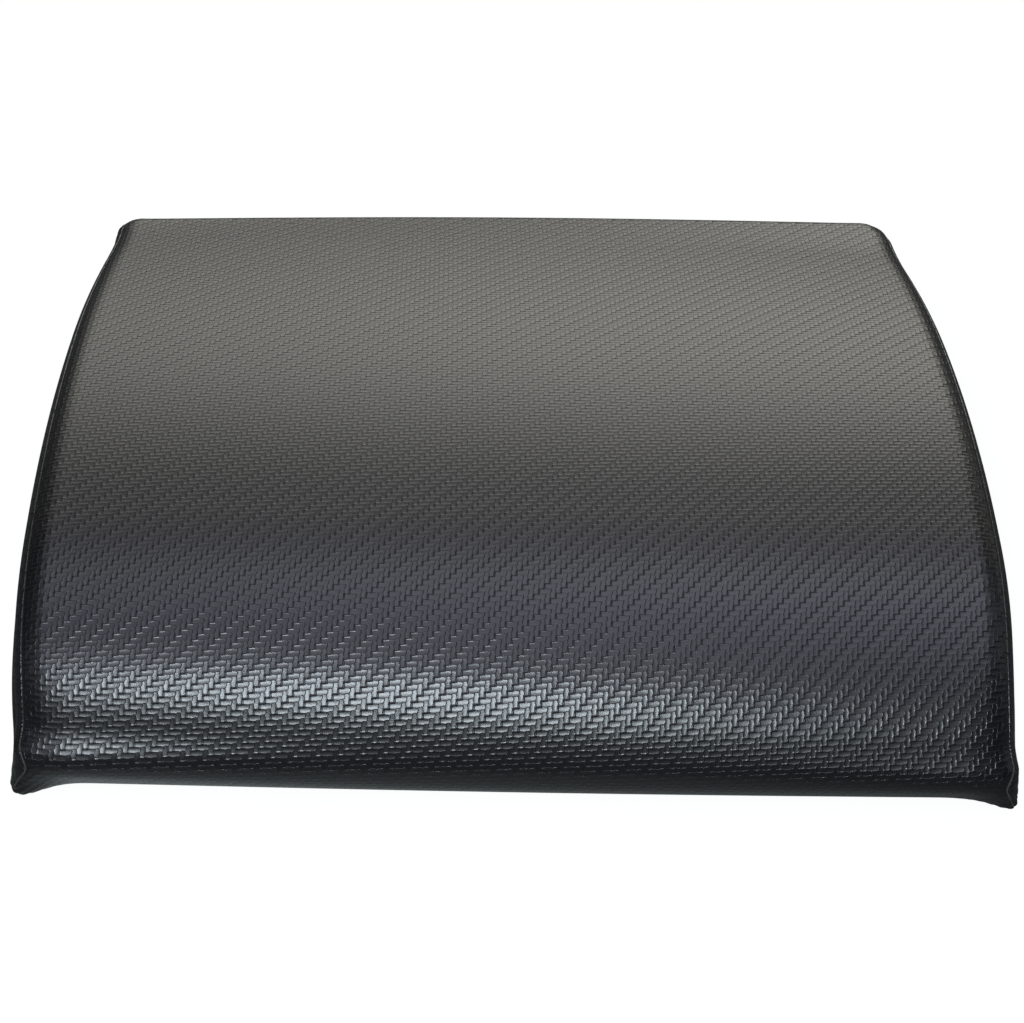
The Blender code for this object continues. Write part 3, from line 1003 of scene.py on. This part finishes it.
def set_stops(ramp, stops):
    while len(ramp.elements) < len(stops):
        ramp.elements.new(1)
    for element, (place, color) in zip(ramp.elements, stops):
        element.position = place
        element.color = (*color, 1)


def surface(name):
    """A new material, its tree and its shader."""
    made = bpy.data.materials.new(name)
    made.use_nodes = True
    tree = Tree(made.node_tree)
    return made, tree, made.node_tree.nodes["Principled BSDF"]


def mixed(tree, share, low, high):
    """A colour between two others, each of them a colour or another node's output."""
    made = tree.node("ShaderNodeMix", {"data_type": "RGBA"})
    tree.plug(made.inputs[mix_factor], share)
    for socket, color in ((mix_first, low), (mix_second, high)):
        tree.plug(made.inputs[socket], (*color, 1) if isinstance(color, tuple) else color)
    return made.outputs[mix_result]


def axes(tree, vector):
    """The three numbers of a vector."""
    split = tree.node("ShaderNodeSeparateXYZ", {}, {0: vector})
    return [Value(tree, output) for output in split.outputs]


def noise(tree, place, size, detail=2.0):
    sockets = {"Vector": place, "Scale": 1 / size, "Detail": detail}
    return tree.value("ShaderNodeTexNoise", sockets)


def dress(tree, shader, color, roughness, relief):
    """Gives a shader its colour, its roughness, and a relief in millimetres."""
    tree.plug(shader.inputs["Base Color"], color)
    tree.plug(shader.inputs["Roughness"], roughness)
    sockets = {"Strength": 1.0, "Distance": 0.001, "Height": relief}
    tree.plug(shader.inputs["Normal"], tree.output("ShaderNodeBump", sockets))


def show_blend(tree, share, first, second):
    """Shows a blend of two shaders: the first one at 0, the second at 1."""
    blend = tree.output("ShaderNodeMixShader", {0: share, 1: first, 2: second})
    tree.plug(tree.tree.nodes["Material Output"].inputs["Surface"], blend)


def twill(u, v, pitch):
    """An embossed two-by-two twill: its height, up to 1, and two sets of grooves, from 0 to 1.

    Each float is a low dome. The domes of the two nearest rows and columns meet in a net of
    fine grooves. Deeper ones run in stairs round the ends of the rows' floats.
    """
    x = u / pitch
    y = (v - u * grain_slope) / pitch
    rows, columns = [], []
    for shift in (-0.5, 0.5):
        row = (y + shift).floor()
        column = (x + shift).floor()
        along_row = ((x - row + 1) / 4).fraction() * 4 - 2
        along_column = ((y - column) / 4).fraction() * 4 - 2
        off_row = (y - row) * 2 - 1
        off_column = (x - column) * 2 - 1
        rows.append(1 - off_row * off_row * tow_roundness - along_row * along_row * row_fall)
        column_top = column_crown - off_column * off_column * tow_roundness
        columns.append(column_top - along_column * along_column * column_fall)
    row_top, column_top = rows[0].at_least(rows[1]), columns[0].at_least(columns[1])
    first = row_top.at_least(column_top)
    second = row_top.at_most(column_top)
    for pair in (rows, columns):
        second = second.at_least(pair[0].at_most(pair[1]))
    net = 1 - (first - second).share(0.0, net_share)
    place = ((x - y.floor()) / 4).fraction() * 4
    up = y.fraction()
    end = place.at_most(4 - place)
    top = (1 - up).at_least(place - 1)
    below = up.at_least(3 - place)
    stairs = 1 - end.at_most(top).at_most(below).share(0.0, stair_share)
    return first, net, stairs


def cut_lengths(tree):
    """The two lengths on a panel's flat cut."""
    return axes(tree, tree.output("ShaderNodeUVMap", {}, {"uv_map": "cut"}))[:2]


def object_place(tree):
    return tree.node("ShaderNodeTexCoord").outputs["Object"]


def carbon_vinyl():
    made, tree, shader = surface("carbon_vinyl")
    weave, net, stairs = twill(*cut_lengths(tree), tow_width)
    place = object_place(tree)
    _, back, up = axes(tree, place)
    # Over the front half the vinyl is stretched and its grooves open, more the higher it lies;
    # there the grooves also carry painted shade
    opening_and_painted_shade = (1 - back.share(opening_and_painted_shade_end, opening_and_painted_shade_start)) * up.share(plain_hem_low, plain_hem_high)
    pebble = noise(tree, place, pebble_size, 3.0)
    cloud = noise(tree, place, 0.06)
    # The grooves are painted darker, as painted shade; the cloud adds tone that differs at random
    groove_painted_shade = (net * net * net_painted_shade).at_least(stairs * stairs * stairs * stair_painted_shade)
    shade = (1 - groove_painted_shade) * 0.75 + cloud * 0.25
    color = mixed(tree, shade, (0.0015, 0.0015, 0.002), (0.005, 0.005, 0.006))
    height = weave - net * net_depth - stairs * stair_depth
    height = height * (emboss * 1000) * (0.85 + opening_and_painted_shade * 0.15)
    # Turned over, with the floats as hollows: that is how the weave was matched to the photo
    relief = (height + pebble * (0.012 + opening_and_painted_shade * 0.048)) * -1
    dress(tree, shader, color, 0.25 + groove_painted_shade * 0.15 + pebble * 0.06, relief)
    shader.inputs["IOR"].default_value = 1.5
    # A dark matt shader blended into the grooves over the front: painted shade
    dark = tree.output("ShaderNodeBsdfDiffuse", {"Color": (0.004, 0.004, 0.0045, 1)})
    show_blend(tree, groove_painted_shade * opening_and_painted_shade, shader.outputs[0], dark)
    return made


def base_cloth():
    """Coated cloth: a fine plain weave under a matt film."""
    made, tree, shader = surface("base_cloth")
    place = object_place(tree)
    x, y = (along / cloth_rib_width for along in axes(tree, place)[:2])
    ribs = (x * pi).cosine() * (y * pi).cosine()
    grain = noise(tree, place, 0.0004, 3.0)
    color = mixed(tree, noise(tree, place, 0.03), (0.016, 0.016, 0.017), (0.026, 0.026, 0.027))
    dress(tree, shader, color, 0.62 + grain * 0.16, ribs * 0.03 + grain * 0.05)
    return made


def grained(name, grain, colors, roughness, relief):
    """A plain moulded finish. grain: its size and detail. roughness: the least, and its spread."""
    made, tree, shader = surface(name)
    cloud = noise(tree, object_place(tree), *grain)
    rough = roughness[0] + cloud * roughness[1]
    dress(tree, shader, mixed(tree, cloud, *colors), rough, cloud * relief)
    return made


def tape_cloth():
    made, tree, shader = surface("tape_cloth")
    weave = twill(*cut_lengths(tree), tape_yarn_width)[0]
    grain = noise(tree, object_place(tree), 0.0003, 3.0)
    color = mixed(tree, weave, (0.008, 0.008, 0.009), (0.022, 0.022, 0.023))
    dress(tree, shader, color, 0.78 + grain * 0.12, weave * 0.07 + grain * 0.03)
    return made


def black_zinc():
    """Lacquered zinc with fine rubbed scratches along the way that it slides."""
    made, tree, shader = surface("black_zinc")
    place = object_place(tree)
    sockets = {"Vector": place, "Scale": (scratch_stretch, 1, 1)}
    stretched = tree.output("ShaderNodeMapping", sockets)
    scratch = noise(tree, stretched, scratch_width, 4.0).share(0.55, 0.75)
    cloud = noise(tree, place, 0.004)
    color = mixed(tree, scratch, (0.018, 0.018, 0.02), (0.09, 0.09, 0.095))
    dress(tree, shader, color, 0.26 + cloud * 0.18, scratch * -0.01 + cloud * 0.01)
    tree.plug(shader.inputs["Metallic"], 0.55 + scratch * 0.35)
    return made


def open_foam():
    made, tree, shader = surface("open_foam")
    place = object_place(tree)
    sockets = {"Vector": place, "Scale": foam_cells_per_metre}
    cells = tree.value("ShaderNodeTexVoronoi", sockets)
    shade = cells * 0.8 + noise(tree, place, 0.02) * 0.2
    color = mixed(tree, shade, (0.08, 0.08, 0.085), (0.20, 0.20, 0.21))
    dress(tree, shader, color, 0.9 + cells * 0.1, cells * 0.35)
    return made


def thread(name, low, high):
    """Twisted thread: fine bands across its length."""
    made, tree, shader = surface(name)
    x, y, z = axes(tree, object_place(tree))
    twist = ((x + y + z) * (2 * pi / thread_twist_length)).cosine() * 0.5 + 0.5
    dress(tree, shader, mixed(tree, twist, low, high), 0.55 + twist * 0.15, twist * 0.03)
    return made


# Floor, lamps and camera

pale_floor_size = 14.0
floor_drop = 0.0002
sensor = 36.0
lens = 88.1
view_elevation = radians(43.035)
view_yaw = radians(1.971)
view_roll = radians(1.958)
view_distance = 0.9710
view_target = Vector((-0.00026, -0.04891, 0.035))


def camera():
    yaw, pitch, turn = view_yaw, view_elevation, view_roll
    forward = Vector((sin(yaw) * cos(pitch), cos(yaw) * cos(pitch), -sin(pitch)))
    across = forward.cross(Vector((0, 0, 1))).normalized()
    down = forward.cross(across)
    x_axis = cos(turn) * across - sin(turn) * down
    y_axis = -(sin(turn) * across + cos(turn) * down)
    matrix = Matrix((x_axis, y_axis, -forward)).transposed().to_4x4()
    matrix.translation = view_target - forward * view_distance
    made = object_from("camera", bpy.data.cameras.new("camera"))
    made.data.lens = lens
    made.data.sensor_width = sensor
    made.matrix_world = matrix
    bpy.context.scene.camera = made


# What the gloss of the cover shows of the room: brightness over the angle from the rear horizon
# over the ceiling to the front one, as shares of a half turn and of the brightest part
room_brightness = 2.6
room_stops = (
    (0.00, 0.50), (0.04, 0.82), (0.09, 0.99), (0.15, 0.74), (0.20, 0.49),
    (0.26, 0.27), (0.33, 0.58), (0.41, 0.98), (0.53, 0.78), (0.68, 0.56),
    (0.74, 0.75), (0.80, 0.30), (0.85, 0.03), (1.00, 0.00),
)
# Where parts of the room set in or end: shares of a half turn, and of the way to the side.
# For the floor: places in metres, where its painted reflection glows
room_front = (0.58, 0.74)
room_dim_start = (0.12, 0.22)
room_dim_end = (0.24, 0.33)
room_tint = (0.1, 0.5)
side_wall = (0.13, 0.5)
floor_start = (-0.24, -0.19)
floor_end = (-0.1, 0.1)
floor_side = (0.16, 0.20)

room_rear_lean = 0.9
room_front_lean = 2.5
room_front_right_dim = 2.0
room_dim = 1.7
side_wall_darkness = 0.88
room_warm = (1.0, 0.98, 0.90)
room_cool = (0.92, 0.94, 1.14)
soft_daylight = 0.55
white = (1, 1, 1)
# The floor's painted reflection in gloss: how bright it glows, where, and its tint
floor_gloss = 0.40
floor_middle = 0.6
floor_lean = 2.4
floor_least = 0.12
floor_most = 1.1
floor_tint = (0.86, 0.98, 1.0)
floor_glow = 1.1
floor_straight_share = 0.8
floor_gloss_share = 0.9


def ray_kinds(tree):
    """1 for rays that see the backdrop straight or through glass, and 1 for rays in gloss."""
    path = tree.node("ShaderNodeLightPath")
    straight = Value(tree, path.outputs["Is Camera Ray"])
    gloss = Value(tree, path.outputs["Is Glossy Ray"])
    through = Value(tree, path.outputs["Is Transmission Ray"])
    return straight.at_least(through), gloss


def squared_share(value, ends):
    """The share of a value's square between the squares of two ends, the same on both sides."""
    low, high = ends
    return (value * value).share(low**2, high**2)


def world():
    """White for the eye, soft and even for the light, and a room for the gloss."""
    made = bpy.data.worlds.new("studio")
    bpy.context.scene.world = made
    made.use_nodes = True
    tree = Tree(made.node_tree)
    background = made.node_tree.nodes["Background"]
    x, y, z = axes(tree, tree.node("ShaderNodeTexCoord").outputs["Generated"])
    over = tree.math("ARCTAN2", z, y) / pi
    stops = [(place, (share,) * 3) for place, share in room_stops]
    ramp = tree.value("ShaderNodeValToRGB", {0: over}, {"stops": stops})
    in_front = over.share(*room_front)
    lean = 1 + x * (room_rear_lean - in_front * (room_rear_lean + room_front_lean))
    lean = (lean - in_front * x.at_least(0.0) * room_front_right_dim).at_least(0.0)
    dim = over.share(*room_dim_start) - over.share(*room_dim_end)
    dim = dim * (x * x).power(0.5) * room_dim
    dark = squared_share(x, side_wall) * side_wall_darkness
    room = ramp * room_brightness * lean * (1 - dark) * (1 - dim).at_least(0.0)
    straight, gloss = ray_kinds(tree)
    strength = soft_daylight + straight * (1 - soft_daylight) + gloss * (room - soft_daylight)
    tree.plug(background.inputs["Strength"], strength)
    tint = mixed(tree, over.share(*room_tint), room_warm, room_cool)
    tree.plug(background.inputs["Color"], mixed(tree, gloss, white, tint))


def floor():
    mesh = bpy.data.meshes.new("floor")
    half = pale_floor_size / 2
    corners = [(-half, -half), (half, -half), (half, half), (-half, half)]
    mesh.from_pydata([(x, y, -floor_drop) for x, y in corners], [], [(0, 1, 2, 3)])
    made = object_from("floor", mesh)
    finish, tree, shader = surface("pale_floor")
    shader.inputs["Base Color"].default_value = (0.9, 0.9, 0.9, 1)
    shader.inputs["Roughness"].default_value = 1.0
    shader.inputs["Specular IOR Level"].default_value = 0.0
    straight, gloss = ray_kinds(tree)
    x, y, _ = axes(tree, object_place(tree))
    # In gloss, the floor shows a painted reflection: it glows near the front of the mat, mostly at
    # its left, and is dark elsewhere
    near = y.share(*floor_start) * (1 - y.share(*floor_end))
    near = near * (1 - squared_share(x, floor_side))
    leaning = (floor_middle - x * floor_lean).at_least(floor_least).at_most(floor_most)
    painted_gloss_glow = near * leaning * floor_gloss
    tint = mixed(tree, gloss, white, mixed(tree, painted_gloss_glow, (0, 0, 0), floor_tint))
    glow = tree.output("ShaderNodeEmission", {"Strength": floor_glow, "Color": tint})
    seen = (straight * floor_straight_share).at_least(gloss * floor_gloss_share)
    show_blend(tree, seen, shader.outputs[0], glow)
    mesh.materials.append(finish)


def lamp(name, place, aim, size, radiance, color):
    """A rectangular lamp of even brightness that only its light shows."""
    light = bpy.data.lights.new(name, "AREA")
    light.shape = "RECTANGLE"
    light.size, light.size_y = size
    light.energy = radiance * pi * size[0] * size[1]
    light.color = color
    made = object_from(name, light)
    made.visible_camera = False
    direction = Vector(aim) - Vector(place)
    made.rotation_euler = direction.to_track_quat("-Z", "Y").to_euler()
    made.location = place


bpy.context.scene.view_settings.view_transform = "Standard"
camera()
world()
floor()
lamp(
    "front_softbox",
    place=(-0.19, -1.56, 1.28),
    aim=(0, -0.15, 0.03),
    size=(0.72, 0.37),
    radiance=29.5,
    color=(0.88, 1.0, 1.06),
)

leather = carbon_vinyl()
cloth = base_cloth()
metal = black_zinc()
nylon = grained(
    "nylon",
    grain=(0.0006, 2.0),
    colors=((0.024, 0.024, 0.026), (0.036, 0.036, 0.038)),
    roughness=(0.36, 0.16),
    relief=0.01,
)
rubber = grained(
    "dot_rubber",
    grain=(0.0003, 3.0),
    colors=((0.02, 0.02, 0.021), (0.034, 0.034, 0.035)),
    roughness=(0.42, 0.2),
    relief=0.03,
)
tape_finish = tape_cloth()
seam_thread = thread("seam_thread", (0.018, 0.016, 0.013), (0.040, 0.035, 0.028))
black_thread = thread("black_thread", (0.010, 0.010, 0.011), (0.022, 0.022, 0.023))


def finish(made, material, slot, body="cover", node=None, fill=None):
    """Gives a piece its material, hides the solid that it replaces and attaches it to the body that
    it moves with.
    """
    if material and material.name not in [kept.name for kept in made.data.materials if kept]:
        made.data.materials.clear()
        made.data.materials.append(material)
    if node:
        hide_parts(node)
    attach(made, body)


finish(top_panel(), leather, "vinyl", node="top_panel", fill=cover_fill)
for name, side in (("left", left), ("right", right)):
    made = side_panel(f"cover_side_{name}", side)
    finish(made, leather, "vinyl", node=f"{name}_side_panel", fill=cover_fill)
finish(squeezed_core(), open_foam(), "foam", node="foam_core", fill=core_fill)
finish(base_sheet("base_cloth_front", front), cloth, "base_cloth", node="base_panel")
finish(base_sheet("base_cloth_rear", rear), cloth, "base_cloth", node="rear_base_panel")

finish(repeated("base_dots", [dot_places()], grip_dot(), rubber), None, "base_cloth")

sides = (left, right)
cords = [(f"cord_{side}", *side_seam(side, seam_cord_depth)) for side in sides]
cords = [tube(*cord, seam_cord_radius) for cord in cords]
cords.append(tube("cord_base", *base_seam(seam_cord_depth), seam_cord_radius, closed=True))
finish(together("seam_cords", cords), seam_thread, "vinyl")

seams = [side_seam(side, ladder_depth) for side in sides] + [base_seam(ladder_depth)]
stitch = thread_stitch("ladder_stitch", (stitch_thickness, ladder_length, stitch_thickness))
finish(repeated("seam_stitches", seams, stitch, seam_thread, ladder_spacing), None, "vinyl")

stitch = thread_stitch("long_stitch", (stitch_length, stitch_thickness, stitch_thickness))
rows = repeated("slot_stitches", slot_rows(), stitch, black_thread, stitch_spacing)
finish(rows, None, "base_cloth")

for name, side in (("front", front), ("rear", rear)):
    finish(zip_tape(f"tape_{name}", side), tape_finish, "zip_tape", node=f"zip_tape_{name}")
for name, side in (("front", front), ("rear", rear)):
    finish(zip_row(f"teeth_{name}", side, nylon), None, "nylon", node=f"zip_teeth_{name}")
slider = soften(merged_copy("zip_slider", "slider"), metal_edge)
finish(slider, metal, "black_zinc", "slider", node="zip_slider")
tab = soften(merged_copy("zip_pull_tab", "pull_tab"), metal_edge)
finish(tab, metal, "black_zinc", "pull_tab", node="zip_pull_tab")
for node in ("zip_top_stop_front", "zip_top_stop_rear", "zip_bottom_stop"):
    for slot in frame["nodes"][node].material_slots:
        slot.material = metal
